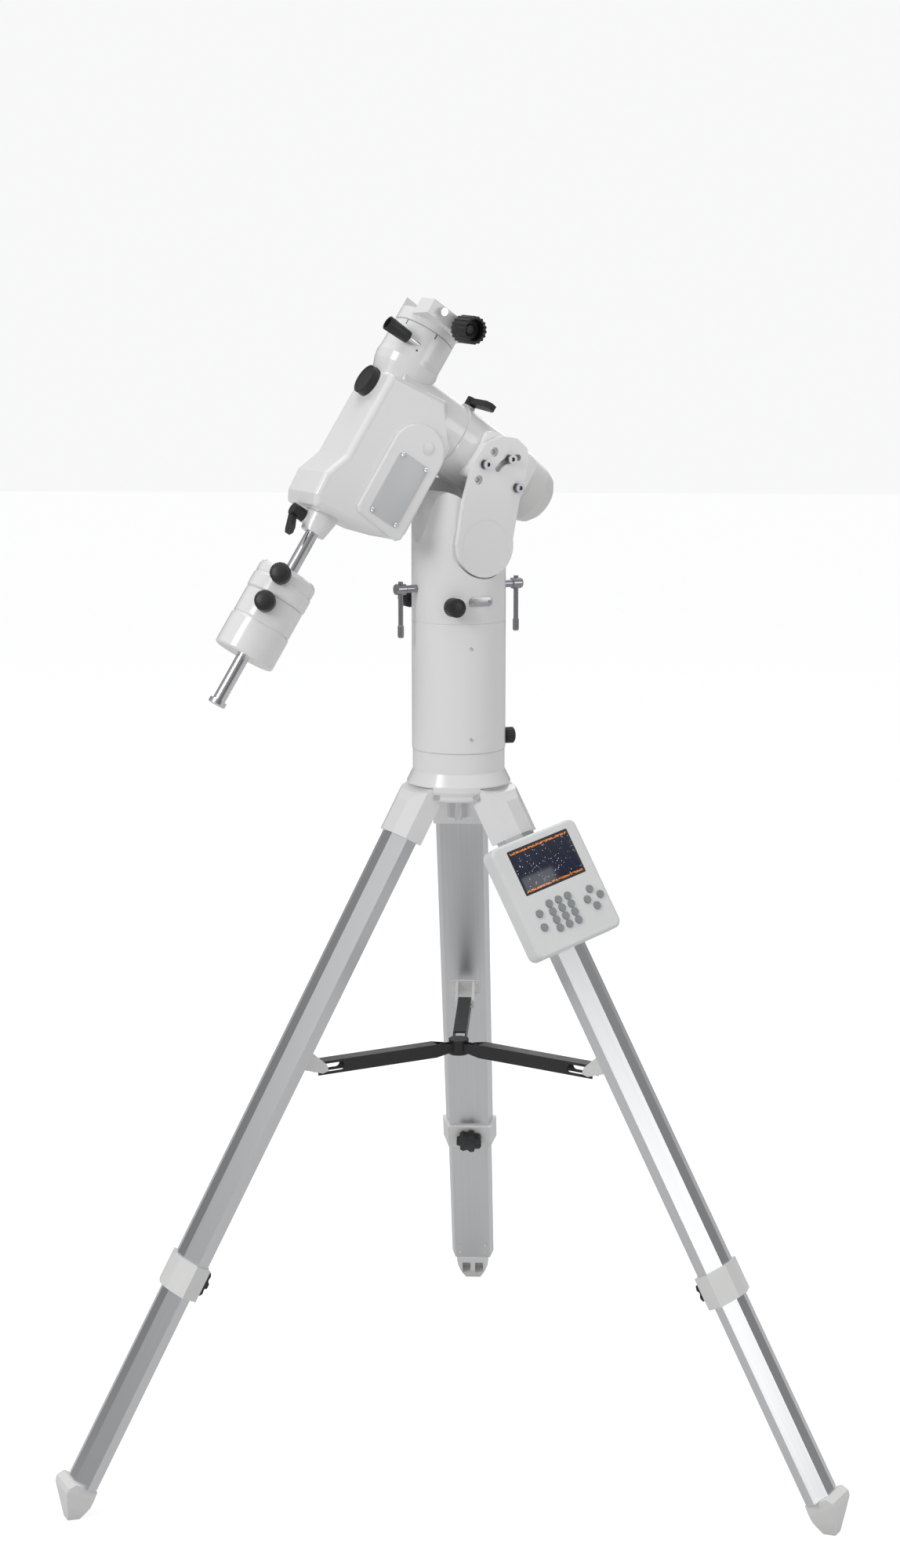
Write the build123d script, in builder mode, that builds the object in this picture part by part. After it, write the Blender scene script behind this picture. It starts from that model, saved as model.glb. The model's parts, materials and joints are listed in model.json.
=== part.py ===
"""German equatorial mount on a half pillar and a folding aluminium tripod."""
import os
from math import cos, radians, sin, tan

from build123d import *

os.makedirs("parts", exist_ok=True)

# Driving dimensions, in millimetres and degrees
# Tripod
hinge_height = 992.0
hub_bottom = hinge_height - 7
hub_top = hub_bottom + 39
hub_radius = 75.0
leg_bearings = (90.0, 210.0, 330.0)
leg_tilt = 29.7
leg_width = 78.0
leg_depth = 32.0
leg_wall = 1.8
leg_gap = 0.5
leg_centre_out = 6.5
hinge_radius = 58.0
hinge_pin_radius = 4.0
collar_along = 766.0
collar_length = 48.0
lower_leg_top = 406.0
foot_length = 54.9
tip_out = -5.5
tip_half = 7.0
foot_inset = 11.0
spreader_drop = 387.0
spreader_height = hinge_height - spreader_drop
spreader_pin_radius = 25.0
bracket_pin_radius = 224.0
arm_width = 20.0
# Half pillar
pillar_radius = 67.5
pillar_wall = 5.0
pillar_length = 216.0
pillar_top = hub_top + pillar_length
spigot_radius = 30.0
# Head
north_bearing = 210.0
latitude = 32.7
cross_north = 109.0
cross_height = pillar_top + 317.5
pivot_north = -8.0
pivot_height = pillar_top + 109
fork_half = 67.0
plate_thickness = 9.0
ra_radius = 50.0
ra_shaft_radius = 20.0
dec_shaft_radius = 17.0
case_half = 50.0
saddle_radius = 45.0
dovetail_width = 45.0
dovetail_depth = 15.0
dovetail_lean = 15.0
dovetail_turn = 6.0
# Counterweights
bar_radius = 9.0
bar_end = -486.0
weight_radius = 44.0
upper_weight = (-328.0, -285.0)
lower_weight = (-417.0, -328.2)
weight_knob_turn = 35.0
weight_knob_radius = 14.5
weight_knob_drop = 13.0
# Controller
panel_width = 154.0
panel_height = 169.0
panel_depth = 30.0
screen_width = 110.0
screen_height = 67.0
# Fits
running = 0.05
gap = 0.3


def floor_along(out):
    """Distance down the leg at which the floor is met, for a height over the leg's hinge line."""
    return (hinge_height + out * sin(radians(leg_tilt))) / cos(radians(leg_tilt))


foot_along = floor_along(0) - foot_length
# The three feet are centred on the origin along y, so the pillar stands off by this much
tip_radius = hinge_radius + floor_along(tip_out) * sin(radians(leg_tilt)) + tip_out * cos(radians(leg_tilt))
pillar_y = -0.25 * tip_radius

up = Vector(0, 0, 1)
north = Vector(cos(radians(north_bearing)), sin(radians(north_bearing)), 0)
west = Vector(-north.Y, north.X, 0)
pole = north * cos(radians(latitude)) + up * sin(radians(latitude))
dec = up * cos(radians(latitude)) - north * sin(radians(latitude))
axis_foot = Vector(0, pillar_y, 0)
axes_cross = axis_foot + north * cross_north + up * cross_height


def level(height):
    """Horizontal plane centred on the pillar."""
    return Plane(axis_foot + up * height)


def polar_plane(along):
    """Square to the polar axis: x is west, y is up the declination axis."""
    return Plane(axes_cross + pole * along, x_dir=west, z_dir=pole)


def dec_plane(along):
    """Square to the declination axis: x is west, y is down the polar axis."""
    return Plane(axes_cross + dec * along, x_dir=west, z_dir=dec)


def head_plane(out, along=0.0, above=0.0):
    """Faces west in the tilted head: x is down the polar axis, y up the declination axis."""
    centre = axes_cross + west * out + pole * along + dec * above
    return Plane(centre, x_dir=-pole, z_dir=west)


def side_plane(out, height=0.0):
    """Faces west in the level base: x is south of the pillar's axis, y is up from a height."""
    return Plane(axis_foot + west * out + up * height, x_dir=-north, z_dir=west)


def write(piece, name):
    """Label a finished piece and write its STEP file."""
    piece.part.label = name
    export_step(piece.part, f"parts/{name}.step")


def turned(plane, profile, mode=Mode.ADD):
    """Solid of revolution about the plane's z axis, from (radius, height) points, inside a block."""
    with BuildSketch(Plane(plane.origin, x_dir=plane.x_dir, z_dir=-plane.y_dir)) as section:
        with BuildLine():
            Polyline(*profile, close=True)
        make_face()
    revolve(section.sketch, axis=Axis(plane.origin, plane.z_dir), mode=mode)


def rod(plane, radius, length, mode=Mode.ADD):
    """Round bar or hole from the plane along its normal, inside a part block."""
    with BuildSketch(plane) as section:
        Circle(radius)
    extrude(section.sketch, amount=length, mode=mode)


def knob(plane, radius, height, stem_radius, stem_length, lobes, flute_radius):
    """Hand knob with finger flutes; its screw runs back from the plane."""
    with BuildPart() as piece:
        with BuildSketch(plane):
            Circle(radius)
            with PolarLocations(radius + 0.55 * flute_radius, lobes):
                Circle(flute_radius, mode=Mode.SUBTRACT)
        extrude(amount=height)
        rod(plane, stem_radius, -stem_length)
    return piece


# ---------------------------------------------------------------- hub and half pillar
leg_head_half = leg_width / 2 + 2
pin_half = leg_head_half + 5.5
flat_half = pin_half + 5.5
with BuildPart() as tripod_hub:
    turned(level(0), [
        (8.2, hub_bottom), (70, hub_bottom), (72, hub_bottom + 3), (72, hub_bottom + 8),
        (hub_radius, hub_bottom + 14), (hub_radius, hub_top - 17), (66.5, hub_top), (8.2, hub_top)])
    for bearing in leg_bearings:
        turn = Plane(axis_foot, x_dir=Vector(cos(radians(bearing)), sin(radians(bearing)), 0), z_dir=up)
        with BuildSketch(turn.offset(hinge_height + 13)):
            with Locations((64, 0)):
                Rectangle(72, 2 * (leg_head_half + gap))
        extrude(amount=-40, mode=Mode.SUBTRACT)
        pin_line = Plane(turn.from_local_coords(Vector(hinge_radius, -flat_half, hinge_height)),
                         x_dir=up, z_dir=turn.y_dir)
        rod(pin_line, hinge_pin_radius, 2 * flat_half, Mode.SUBTRACT)
write(tripod_hub, "tripod_hub")

with BuildPart() as hub_fasteners:
    turned(level(0), [
        (0, hub_bottom - 36), (15, hub_bottom - 36), (17, hub_bottom - 33), (17, hub_bottom - 12),
        (22, hub_bottom - 8), (22, hub_bottom), (8, hub_bottom), (8, hub_top + 24), (0, hub_top + 24)])
    for bearing in leg_bearings:
        turn = Plane(axis_foot, x_dir=Vector(cos(radians(bearing)), sin(radians(bearing)), 0), z_dir=up)
        pin_line = Plane(turn.from_local_coords(Vector(hinge_radius, -pin_half, hinge_height)),
                         x_dir=up, z_dir=turn.y_dir)
        rod(pin_line, hinge_pin_radius, 2 * pin_half)
write(hub_fasteners, "hub_fasteners")

pillar_bore = pillar_radius - pillar_wall
socket_top = hub_top + 29
knob_bearing = radians(18)
knob_way = Vector(cos(knob_bearing), sin(knob_bearing), 0)
pillar_knob_height = hub_top + 44
pillar_knob_plane = Plane(axis_foot + knob_way * (pillar_radius + 2) + up * pillar_knob_height,
                          x_dir=up, z_dir=knob_way)
with BuildPart() as half_pillar:
    turned(level(0), [
        (8.2, hub_top), (66.5, hub_top), (66.5, socket_top), (65.5, socket_top), (65.5, socket_top + 2),
        (pillar_radius, socket_top + 2), (pillar_radius, pillar_top - 2), (pillar_radius - 1, pillar_top),
        (spigot_radius + running, pillar_top), (spigot_radius + running, pillar_top - 12),
        (pillar_bore, pillar_top - 12), (pillar_bore, hub_top + 10), (8.2, hub_top + 10)])
    rod(pillar_knob_plane.offset(2), 4 + running, -20, Mode.SUBTRACT)
write(half_pillar, "half_pillar")
pillar_knob = knob(pillar_knob_plane, 12, 14, 4, 9, 6, 3)
write(pillar_knob, "pillar_knob")

# ---------------------------------------------------------------- legs


def leg_frame(bearing):
    """Hinge point, direction down the leg, outward normal and tangent of one leg."""
    radial = Vector(cos(radians(bearing)), sin(radians(bearing)), 0)
    tangent = Vector(-radial.Y, radial.X, 0)
    down = radial * sin(radians(leg_tilt)) - up * cos(radians(leg_tilt))
    out = radial * cos(radians(leg_tilt)) + up * sin(radians(leg_tilt))
    return axis_foot + radial * hinge_radius + up * hinge_height, down, out, tangent


def leg_outline(grow):
    """Six-sided leg section grown by a margin: broad inside, narrow outside."""
    half = leg_depth / 2
    with BuildLine() as outline:
        Polyline((-leg_width / 2 + 7, -half), (leg_width / 2 - 7, -half), (leg_width / 2, half - 12),
                 (11, half), (-11, half), (-leg_width / 2, half - 12), close=True)
    make_face(outline.edges())
    if grow:
        offset(amount=grow, kind=Kind.INTERSECTION, mode=Mode.REPLACE)


def leg_tube(bearing, start, end, grow, mode=Mode.ADD):
    """Straight stretch of the leg section between two distances down the leg."""
    hinge, down, out, tangent = leg_frame(bearing)
    plane = Plane(hinge + down * start + out * leg_centre_out, x_dir=tangent, z_dir=down)
    with BuildSketch(plane) as section:
        leg_outline(grow)
    extrude(section.sketch, amount=end - start, mode=mode)


collar_start = collar_along - collar_length / 2
collar_end = collar_along + collar_length / 2
upper_leg_end = collar_along + 10
lower_grow = -(leg_wall + leg_gap)
pin_in = (bracket_pin_radius - hinge_radius) * cos(radians(leg_tilt)) \
    - (hinge_height - spreader_height) * sin(radians(leg_tilt))
pin_along = (bracket_pin_radius - hinge_radius) * sin(radians(leg_tilt)) \
    + (hinge_height - spreader_height) * cos(radians(leg_tilt))
leg_inner = leg_centre_out - leg_depth / 2
bracket_pin = 2.5

for number, bearing in enumerate(leg_bearings, 1):
    hinge, down, out, tangent = leg_frame(bearing)
    side = Plane(hinge - tangent * leg_head_half, x_dir=down, z_dir=-tangent)

    with BuildPart() as leg_head:
        top = 12.0
        with BuildSketch(side):
            with BuildLine():
                Polyline((0, -top), (72, leg_inner - 3), (72, leg_centre_out + leg_depth / 2 + 3),
                         (22, leg_centre_out + leg_depth / 2 + 3), (7, 20), (-3, 11.6), close=True)
            make_face()
            Circle(top)
        extrude(amount=-2 * leg_head_half)
        rod(side.offset(1), hinge_pin_radius + running, -2 * leg_head_half - 2, Mode.SUBTRACT)
        leg_tube(bearing, 42, 73, 0, Mode.SUBTRACT)
        for hand in (-1, 1):
            with BuildSketch(Plane(hinge + out * leg_centre_out, x_dir=tangent, z_dir=down)):
                with BuildLine():
                    Polyline((hand * 16, leg_depth / 2 + 20), (hand * 16, leg_depth / 2 + 3.1),
                             (hand * (leg_head_half + 1), leg_depth / 2 - 8), (hand * 60, 36), close=True)
                make_face()
            extrude(amount=74, mode=Mode.SUBTRACT)
    write(leg_head, f"leg_{number}_head")

    with BuildPart() as upper_leg:
        leg_tube(bearing, 42, upper_leg_end, 0)
        leg_tube(bearing, 42, upper_leg_end, -leg_wall, Mode.SUBTRACT)
        screw_in = Plane(hinge + down * collar_along + out * (leg_inner + 8), x_dir=tangent, z_dir=-out)
        rod(screw_in, 4 + running, 12, Mode.SUBTRACT)
    write(upper_leg, f"leg_{number}_upper_tube")

    with BuildPart() as collar:
        leg_tube(bearing, collar_start, collar_end, 4.5)
        leg_tube(bearing, collar_start, upper_leg_end, 0, Mode.SUBTRACT)
        leg_tube(bearing, upper_leg_end, collar_end, lower_grow + leg_gap, Mode.SUBTRACT)
        rod(screw_in.offset(7), 4 + running, 9, Mode.SUBTRACT)
        foot_plate = Plane(hinge + down * pin_along + out * (leg_inner - 2), x_dir=tangent, z_dir=out)
        with BuildSketch(foot_plate):
            Rectangle(44, 34)
        extrude(amount=2)
        ear = Plane(hinge + down * pin_along + out * leg_inner, x_dir=out, z_dir=tangent)
        for hand in (-1, 1):
            with BuildSketch(ear.offset(hand * (arm_width / 2 + 1) - (4 if hand < 0 else 0))):
                with BuildLine():
                    Polyline((-2, -15), (-2, 15), (pin_in - leg_inner, 7), (pin_in - leg_inner - 7, 0),
                             (pin_in - leg_inner, -7), close=True)
                make_face()
            extrude(amount=4)
        rod(Plane(hinge + down * pin_along + out * pin_in - tangent * (arm_width / 2 + 5),
                  x_dir=out, z_dir=tangent), bracket_pin, arm_width + 10)
    write(collar, f"leg_{number}_collar_and_bracket")

    knob_face = Plane(hinge + down * collar_along + out * (leg_inner - 7), x_dir=tangent, z_dir=-out)
    leg_knob = knob(knob_face, 21, 15, 4, 7 + leg_wall + leg_gap - 0.2, 7, 5)
    write(leg_knob, f"leg_{number}_clamp_knob")

    with BuildPart() as lower_leg:
        leg_tube(bearing, lower_leg_top, foot_along, lower_grow)
        leg_tube(bearing, lower_leg_top, foot_along, lower_grow - leg_wall, Mode.SUBTRACT)
    write(lower_leg, f"leg_{number}_lower_tube")

    with BuildPart() as foot:
        foot_half = leg_width / 2 - foot_inset
        with BuildSketch(Plane(side.origin + tangent * (leg_head_half - foot_half), x_dir=down,
                               z_dir=-tangent)):
            with BuildLine():
                Polyline((foot_along, leg_inner - 1.5), (foot_along, leg_centre_out + leg_depth / 2 + 1.5),
                         (foot_along + 9, 31), (foot_along + 17, 30),
                         (floor_along(tip_out + tip_half), tip_out + tip_half),
                         (floor_along(tip_out - tip_half), tip_out - tip_half),
                         (foot_along + 26, -15), close=True)
            make_face()
        extrude(amount=-2 * foot_half)
        with BuildSketch(Plane(hinge + out * 60, x_dir=down, z_dir=out)):
            with BuildLine():
                Polyline((foot_along - 1, -foot_half), (foot_along - 1, foot_half),
                         (foot_along + 14, foot_half - 2), (foot_along + 34, foot_half - 9),
                         (foot_along + 60, tip_half), (foot_along + 60, -tip_half),
                         (foot_along + 34, 9 - foot_half), (foot_along + 14, 2 - foot_half), close=True)
            make_face()
        extrude(amount=-120, mode=Mode.INTERSECT)
        for hand in (-1, 1):
            with BuildSketch(Plane(hinge + down * (foot_along + 22) + tangent * hand * 11 + out * -20,
                                   x_dir=tangent, z_dir=out)):
                Rectangle(14, 26)
            extrude(amount=22, mode=Mode.SUBTRACT)
        with BuildSketch(Plane(hinge + down * foot_along + out * leg_centre_out, x_dir=tangent,
                               z_dir=down)):
            leg_outline(lower_grow - leg_wall)
        extrude(amount=-14)
    write(foot, f"leg_{number}_foot")

# ---------------------------------------------------------------- spreader
arm_height = 20.0
slot_half = 6.0
with BuildPart() as spreader_hub:
    rod(level(spreader_height - 11), 15, 22)
    for bearing in leg_bearings:
        radial = Vector(cos(radians(bearing)), sin(radians(bearing)), 0)
        tangent = Vector(-radial.Y, radial.X, 0)
        for hand in (-1, 1):
            ear_out = hand * (arm_width / 2 - 4.5) - 1.5
            ear = Plane(axis_foot + tangent * ear_out + up * spreader_height, x_dir=radial, z_dir=tangent)
            with BuildSketch(ear):
                with Locations((18, 0)):
                    Rectangle(20, 12)
                with Locations((spreader_pin_radius + 1, 0)):
                    Circle(6)
            extrude(amount=3)
        rod(Plane(axis_foot + radial * spreader_pin_radius - tangent * (arm_width / 2)
                  + up * spreader_height, x_dir=up, z_dir=tangent), bracket_pin, arm_width)
write(spreader_hub, "spreader_hub")

for number, bearing in enumerate(leg_bearings, 1):
    radial = Vector(cos(radians(bearing)), sin(radians(bearing)), 0)
    tangent = Vector(-radial.Y, radial.X, 0)
    with BuildPart() as arm:
        half = arm_height / 2
        inner, outer = spreader_pin_radius, bracket_pin_radius
        flank = Plane(axis_foot - tangent * (arm_width / 2) + up * spreader_height, x_dir=radial,
                      z_dir=-tangent)
        with BuildSketch(flank):
            with BuildLine():
                Polyline((inner - 5, -6), (inner + 16, -half), (outer + 8, -half), (outer + 8, half),
                         (inner + 16, half), (inner - 5, 6), close=True)
            make_face()
        extrude(amount=-arm_width)
        with BuildSketch(Plane(axis_foot + radial * 125 + up * (spreader_height - half - 1),
                               x_dir=radial, z_dir=up)):
            Rectangle(230, arm_width - 4)
        extrude(amount=arm_height - 1.5, mode=Mode.SUBTRACT)
        with BuildSketch(Plane(axis_foot + radial * (inner + 2) + up * (spreader_height - half - 1),
                               x_dir=radial, z_dir=up)):
            Rectangle(26, arm_width - 4)
        extrude(amount=arm_height + 4, mode=Mode.SUBTRACT)
        rod(Plane(flank.from_local_coords(Vector(inner, 0, 1)), x_dir=up, z_dir=tangent),
            bracket_pin + running, arm_width + 2, Mode.SUBTRACT)
        with BuildSketch(flank.offset(1)):
            with Locations((outer - 28, 0)):
                Circle(slot_half)
            with Locations((outer - 8, 0)):
                Rectangle(40, 2 * slot_half)
        extrude(amount=-arm_width - 2, mode=Mode.SUBTRACT)
    write(arm, f"spreader_arm_{number}")

# ---------------------------------------------------------------- azimuth base
boss_half = fork_half - plate_thickness - gap
pivot_x = -pivot_north
adjuster_height = pillar_top + 47
azimuth_knob_north = 44.0
azimuth_knob_height = pillar_top + 25.7
with BuildPart() as azimuth_base:
    with BuildSketch(side_plane(-pillar_radius, pivot_height)):
        with BuildLine():
            Polyline((-pillar_radius, -109), (-pillar_radius, 3), (-60, 51), (-54, 70), (-44, 76),
                     (-32, 71), (-10, 56), (38, 39), (58, 23), (pillar_radius, -4),
                     (pillar_radius, -109), close=True)
        make_face()
    extrude(amount=2 * pillar_radius)
    with BuildSketch(level(pillar_top)):
        Circle(pillar_radius)
    extrude(amount=200, mode=Mode.INTERSECT)
    rod(Plane(side_plane(-boss_half).from_local_coords(Vector(pivot_x, pivot_height, 0)),
              x_dir=up, z_dir=west), 49, 2 * boss_half)
    for hand in (-1, 1):
        rod(Plane(side_plane(hand * boss_half).from_local_coords(Vector(pivot_x, pivot_height, 0)),
                  x_dir=up, z_dir=west * hand), 46.5, 30, Mode.SUBTRACT)
        with BuildSketch(side_plane(hand * boss_half)):
            with Locations((0, pivot_height + 60)):
                Rectangle(200, 120)
        extrude(amount=hand * 30, mode=Mode.SUBTRACT)
    with BuildSketch(side_plane(-12)):
        with Locations((pivot_x - 2, pivot_height - 1)):
            Rectangle(56, 172)
    extrude(amount=24, mode=Mode.SUBTRACT)
    rod(Plane(side_plane(-boss_half - 1).from_local_coords(Vector(pivot_x, pivot_height, 0)),
              x_dir=up, z_dir=west), 15 + running, 2 * boss_half + 2, Mode.SUBTRACT)
    rod(level(pillar_top), spigot_radius, -14)
    adjuster_line = side_plane(0).from_local_coords(Vector(0, adjuster_height, 0))
    rod(Plane(adjuster_line - north * 80, x_dir=up, z_dir=north), 5 + running, 160, Mode.SUBTRACT)
    azimuth_line = side_plane(0).from_local_coords(Vector(-azimuth_knob_north, azimuth_knob_height, 0))
    for hand in (-1, 1):
        rod(Plane(azimuth_line + west * hand * 70, x_dir=up, z_dir=west * -hand), 4 + running, 40,
            Mode.SUBTRACT)
write(azimuth_base, "azimuth_base")

azimuth_knobs = {}
for name, hand in (("west", 1), ("east", -1)):
    face = Plane(azimuth_line + west * hand * 64, x_dir=up, z_dir=west * hand)
    azimuth_knobs[name] = knob(face, 13.5, 20, 4, 26, 8, 3)
    write(azimuth_knobs[name], f"azimuth_knob_{name}")

for name, hand, collar_out in (("north", 1, 68.0), ("south", -1, 69.0)):
    way = north * hand
    start = Plane(adjuster_line + way * collar_out, x_dir=up, z_dir=way)
    with BuildPart() as adjuster:
        rod(start, 5, -32)
        turned(start, [(0, 0), (5.5, 0), (5.5, 16), (8, 18), (8, 31), (7, 33), (0, 33)])
        bar_top = Plane(start.origin + way * 24.5 + up * 9, x_dir=way, z_dir=-up)
        turned(bar_top, [(0, -2), (3.5, -2), (3.5, 60), (4.5, 62), (4.5, 76), (3.5, 78), (0, 78)])
    write(adjuster, f"altitude_bolt_{name}")

# ---------------------------------------------------------------- altitude fork and polar housing
disc_radius = 37.0
with BuildPart() as altitude_axle:
    pivot = side_plane(0).from_local_coords(Vector(pivot_x, pivot_height, 0))
    rod(Plane(pivot - west * (fork_half - 6), x_dir=up, z_dir=west), 15, 2 * (fork_half - 6))
    for hand in (-1, 1):
        rod(Plane(pivot + west * hand * (fork_half - 6), x_dir=up, z_dir=west * hand),
            disc_radius - running, 5.6)
    with BuildSketch(side_plane(-10)):
        with Locations((pivot_x, pivot_height - 35)):
            Rectangle(12, 70)
    extrude(amount=20)
write(altitude_axle, "altitude_axle")

bolt_places = ((-149.1, -16.3), (-210.9, -17.3))
spare_places = ((-152.1, 5.5), (-151.7, -39.9))
slot_bolt = (-178.7, 10.0)
slot_centre = bolt_places[1]
pad_low, pad_high, pad_north, pad_south = -42.0, 32.0, -134.0, -226.0
with BuildPart() as side_plates:
    for hand in (-1, 1):
        with BuildSketch(side_plane(hand * (fork_half - plate_thickness), pivot_height)):
            with BuildLine():
                Polyline((-37, 3), (-27, 63), (-10, 118), (8, 143), (33, 153), (58, 149), (74, 135),
                         (77, 117), (62, 63), (51, 6), close=True)
            make_face()
            fillet([v for v in vertices() if v.Y > 111], 9)
            with Locations((pivot_x, 0)):
                Circle(44)
        extrude(amount=hand * plate_thickness)
        rod(Plane(pivot + west * hand * (fork_half - 6), x_dir=up, z_dir=west * hand),
            disc_radius, 10, Mode.SUBTRACT)
        rod(Plane(pivot + west * hand * 50, x_dir=up, z_dir=west * hand), 15, 12, Mode.SUBTRACT)
        for along, above in bolt_places + spare_places:
            rod(head_plane(hand * 50, along, above), 4, hand * 30, Mode.SUBTRACT)
        for along, above in spare_places:
            rod(head_plane(hand * (fork_half - 5), along, above), 6.5, hand * 10, Mode.SUBTRACT)
        with BuildSketch(head_plane(hand * (fork_half - plate_thickness - 1))):
            reach = Vector(slot_bolt[0] - slot_centre[0], slot_bolt[1] - slot_centre[1])
            with BuildLine():
                for radius in (reach.length - 4.5, reach.length + 4.5):
                    CenterArc((-slot_centre[0], slot_centre[1]), radius, 122, 50)
                for angle, turn in ((122, -180), (172, 180)):
                    middle = (-slot_centre[0] + reach.length * cos(radians(angle)),
                              slot_centre[1] + reach.length * sin(radians(angle)))
                    CenterArc(middle, 4.5, angle, turn)
            make_face()
        extrude(amount=hand * (plate_thickness + 2), mode=Mode.SUBTRACT)
write(side_plates, "side_plates")

with BuildPart() as plate_bolts:
    for hand in (-1, 1):
        for along, above in bolt_places + (slot_bolt,):
            face = head_plane(hand * fork_half, along, above)
            seat = Plane(face.origin, x_dir=up, z_dir=west * hand)
            rod(seat, 8, 1.5)
            rod(seat.offset(1.5), 6.5, 6.5)
            rod(seat, 4 - running, -(plate_thickness + 12))
            with BuildSketch(seat.offset(8)) as socket:
                RegularPolygon(3.4, 6)
            extrude(amount=-4, mode=Mode.SUBTRACT)
write(plate_bolts, "plate_bolts")

housing_start = -105.0
housing_end = -232.0
wheel_start, wheel_end = -139.0, -155.0
wheel_radius, worm_radius = 30.0, 6.0
worm_below = wheel_radius + worm_radius
worm_half = 17.0
lever_along = -115.0
lever_turn = 65.0
with BuildPart() as ra_housing:
    turned(polar_plane(0), [
        (ra_shaft_radius + running, housing_start), (ra_radius - 2, housing_start),
        (ra_radius, housing_start - 2), (ra_radius, housing_end + 3), (ra_radius - 3, housing_end),
        (40, housing_end), (40, housing_end + 15), (ra_shaft_radius + running, housing_end + 15),
        (ra_shaft_radius + running, wheel_end - 0.5), (wheel_radius + 1, wheel_end - 0.5),
        (wheel_radius + 1, wheel_start + 0.5), (ra_shaft_radius + running, wheel_start + 0.5)])
    for hand in (-1, 1):
        with BuildSketch(head_plane(hand * 30)):
            with Locations((-(pad_north + pad_south) / 2, (pad_low + pad_high) / 2)):
                RectangleRounded(pad_north - pad_south, pad_high - pad_low, 10)
        extrude(amount=hand * (fork_half - plate_thickness - 30))
    rod(polar_plane(housing_end + 15), ra_shaft_radius + running, 110, Mode.SUBTRACT)
    rod(polar_plane(housing_end - 1), 40, 16, Mode.SUBTRACT)
    rod(polar_plane(wheel_end - 0.5), wheel_radius + 1, wheel_start - wheel_end + 1, Mode.SUBTRACT)
    rod(head_plane(-worm_half - 1, (wheel_start + wheel_end) / 2, -worm_below), worm_radius + 0.5,
        2 * worm_half + 2, Mode.SUBTRACT)
    for hand in (-1, 1):
        for along, above in bolt_places + (slot_bolt,):
            rod(head_plane(hand * 70, along, above), 4, -hand * 26, Mode.SUBTRACT)
    lever_base = Plane(axes_cross + pole * lever_along + dec * 40, x_dir=west, z_dir=dec)
    rod(lever_base, 9.5, 13)
    rod(lever_base, 4 + running, 14, Mode.SUBTRACT)
write(ra_housing, "ra_housing")

with BuildPart() as ra_worm:
    worm_end = head_plane(-worm_half, (wheel_start + wheel_end) / 2, -worm_below)
    thread = [(0, 0), (3, 0), (3, 5)]
    for turn_number in range(8):
        thread += [(worm_radius - 0.2, 6 + 3 * turn_number), (worm_radius - 1.6, 7.5 + 3 * turn_number)]
    thread += [(3, 29), (3, 34), (0, 34)]
    turned(Plane(worm_end.origin, x_dir=pole, z_dir=west), thread)
write(ra_worm, "ra_worm")

with BuildPart() as ra_clamp_lever:
    lever_foot = lever_base.offset(13)
    rod(lever_foot, 8.5, 13)
    rod(lever_foot, 4, -9)
    lever_way = west * cos(radians(lever_turn)) + pole * sin(radians(lever_turn))
    with BuildSketch(Plane(lever_foot.origin + dec * 3, x_dir=lever_way, z_dir=dec)):
        with BuildLine():
            Polyline((-6, 0), (6, 0), (18, 38), (14, 46), (4, 47), (0, 42), close=True)
        make_face()
    extrude(amount=9)
write(ra_clamp_lever, "ra_clamp_lever")

with BuildPart() as polar_cover:
    turned(polar_plane(0), [
        (38, housing_end), (38, housing_end + 9), (39.9, housing_end + 9), (39.9, housing_end),
        (45.5, housing_end - 0.1), (46.5, -238), (44, -262), (38, -278), (29, -286), (0, -289),
        (0, -286), (28, -283), (36, -276), (41.5, -262), (43, -240), (43, -236), (38, -236)])
write(polar_cover, "polar_cover")

# ---------------------------------------------------------------- declination body
neck_start = housing_start + gap
cap_start = 34.0
ring_start, ring_end = 59.0, 99.7
ring_radius = 45.0
case_floor = -186.0
with BuildPart() as dec_housing:
    with BuildSketch(head_plane(-case_half)):
        with BuildLine():
            Polyline((-33, 18), (-33, -112), (-47, -148), (-45, -180), (-37, -195), (-20, -194),
                     (58, -183), (98, -171), (104, -158), (101, -20), (60, 30), close=True)
        make_face()
        fillet(vertices(), 5)
    extrude(amount=2 * case_half)
    fillet(faces().filter_by(Plane(head_plane(0).origin, z_dir=west)).edges(), 9)
    rod(polar_plane(neck_start), ra_radius, -neck_start + 12)
    turned(dec_plane(0), [(0, -30), (32, -30), (33, 0), (38, 20), (44.5, 38), (46.5, 50),
                          (ring_radius, ring_start), (0, ring_start)])
    rod(polar_plane(0), 23, cap_start)
    # The through bores: declination shaft, weight bar, polar shaft and sight line
    rod(dec_plane(-150), dec_shaft_radius + running, 220, Mode.SUBTRACT)
    rod(dec_plane(-230), bar_radius + 0.5, 90, Mode.SUBTRACT)
    rod(dec_plane(-250), 23, 250 + case_floor, Mode.SUBTRACT)
    rod(polar_plane(neck_start - 1), ra_shaft_radius, 66, Mode.SUBTRACT)
    rod(polar_plane(-50), 13, 100, Mode.SUBTRACT)
    rod(polar_plane(cap_start), 22, 30, Mode.SUBTRACT)
    # Drive bay behind the motor cover
    with BuildSketch(head_plane(case_half + 1)):
        with Locations((57, -100)):
            RectangleRounded(54, 96, 6)
    extrude(amount=-74, mode=Mode.SUBTRACT)
write(dec_housing, "dec_housing")

with BuildPart() as motor_cover:
    with BuildSketch(head_plane(case_half)):
        with BuildLine():
            Polyline((16, -55), (16, -163), (22, -169), (92, -175), (98, -169), (98, -55), close=True)
        make_face()
        with Locations((57, -55)):
            Circle(41)
    extrude(amount=5)
    fillet(faces().sort_by(Axis(axes_cross, west))[-1].edges(), 3)
write(motor_cover, "motor_cover")

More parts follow.
